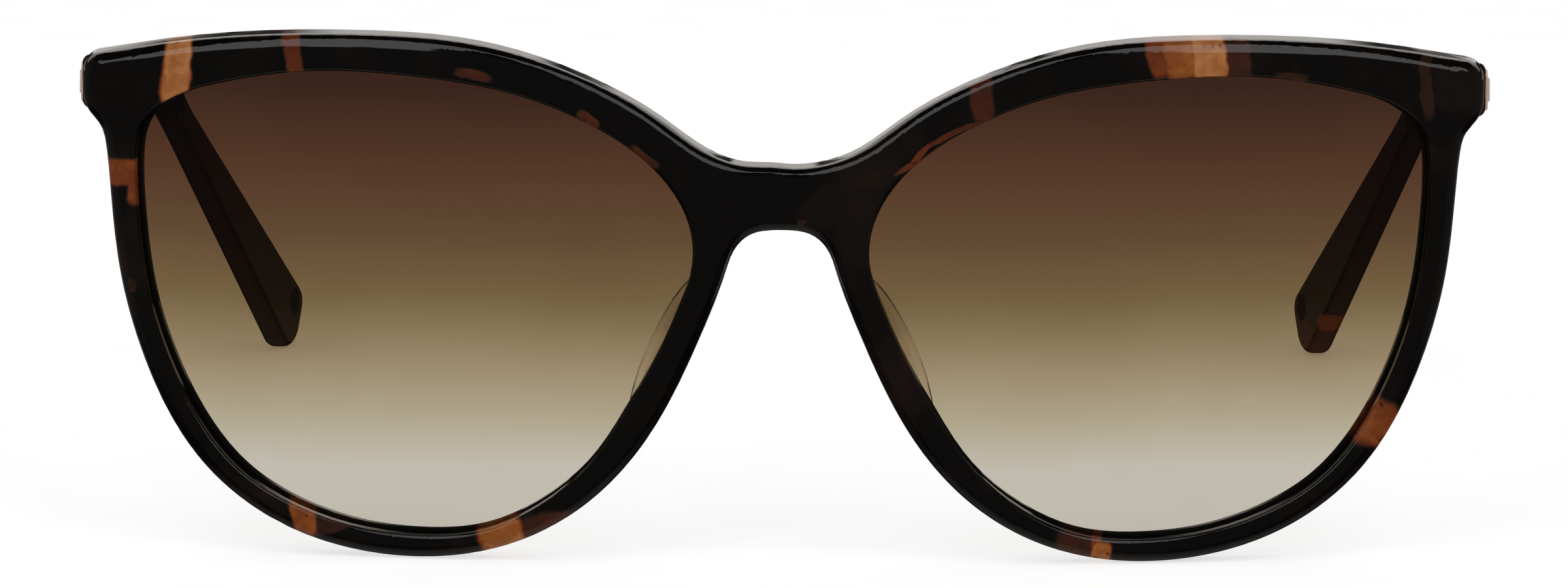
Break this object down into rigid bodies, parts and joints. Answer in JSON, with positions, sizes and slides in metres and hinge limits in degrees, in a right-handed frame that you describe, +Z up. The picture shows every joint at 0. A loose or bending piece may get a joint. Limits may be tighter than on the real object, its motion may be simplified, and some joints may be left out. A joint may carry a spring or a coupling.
{
  "type": "cat eye sunglasses",
  "caption": "Cat eye sunglasses with a tortoise acetate front, gradient brown lenses, folding temples and rose-gold side plaques.",
  "frame": {"origin": "middle of the footprint, at the level on which the rims and the temple tips stand", "axes": "+Z up, +Y back towards the ear tips, +X towards the wearer's left"},
  "size_m": [0.1426, 0.1366, 0.0529],
  "materials": {
    "tortoise_acetate": "polished tortoise acetate",
    "tinted_lens": "clear, brown fading downwards",
    "clear_pad": "clear polished",
    "hinge_steel": "tumbled",
    "screw_steel": "polished",
    "core_steel": "drawn wire",
    "rose_gold": "polished rose gold plating",
    "inlay_dark": "satin"
  },
  "bodies": {
    "front": {"front_frame": "tortoise_acetate", "lens_left": "tinted_lens", "lens_right": "tinted_lens", "nose_pad_left": "clear_pad", "nose_pad_right": "clear_pad", "front_hinge_left": "hinge_steel", "front_hinge_right": "hinge_steel", "hinge_screw_left": "screw_steel", "hinge_screw_right": "screw_steel"},
    "temple_arm_left": {"temple_left": "tortoise_acetate", "temple_hinge_left": "hinge_steel", "core_wire_left": "core_steel", "plaque_left": "rose_gold", "plaque_emblem_left": "rose_gold", "tip_inlay_left": "inlay_dark"},
    "temple_arm_right": {"temple_right": "tortoise_acetate", "temple_hinge_right": "hinge_steel", "core_wire_right": "core_steel", "plaque_right": "rose_gold", "plaque_emblem_right": "rose_gold", "tip_inlay_right": "inlay_dark"}
  },
  "joints": [
    {"name": "temple_fold_left", "type": "hinge", "parent": "front", "child": "temple_arm_left", "pos_m": [0.0648, -0.0522, 0.04665], "axis": [0, 0, 1], "range_deg": [0, 87]},
    {"name": "temple_fold_right", "type": "hinge", "parent": "front", "child": "temple_arm_right", "pos_m": [-0.0648, -0.0522, 0.04665], "axis": [0, 0, -1], "range_deg": [0, 80]}
  ]
}
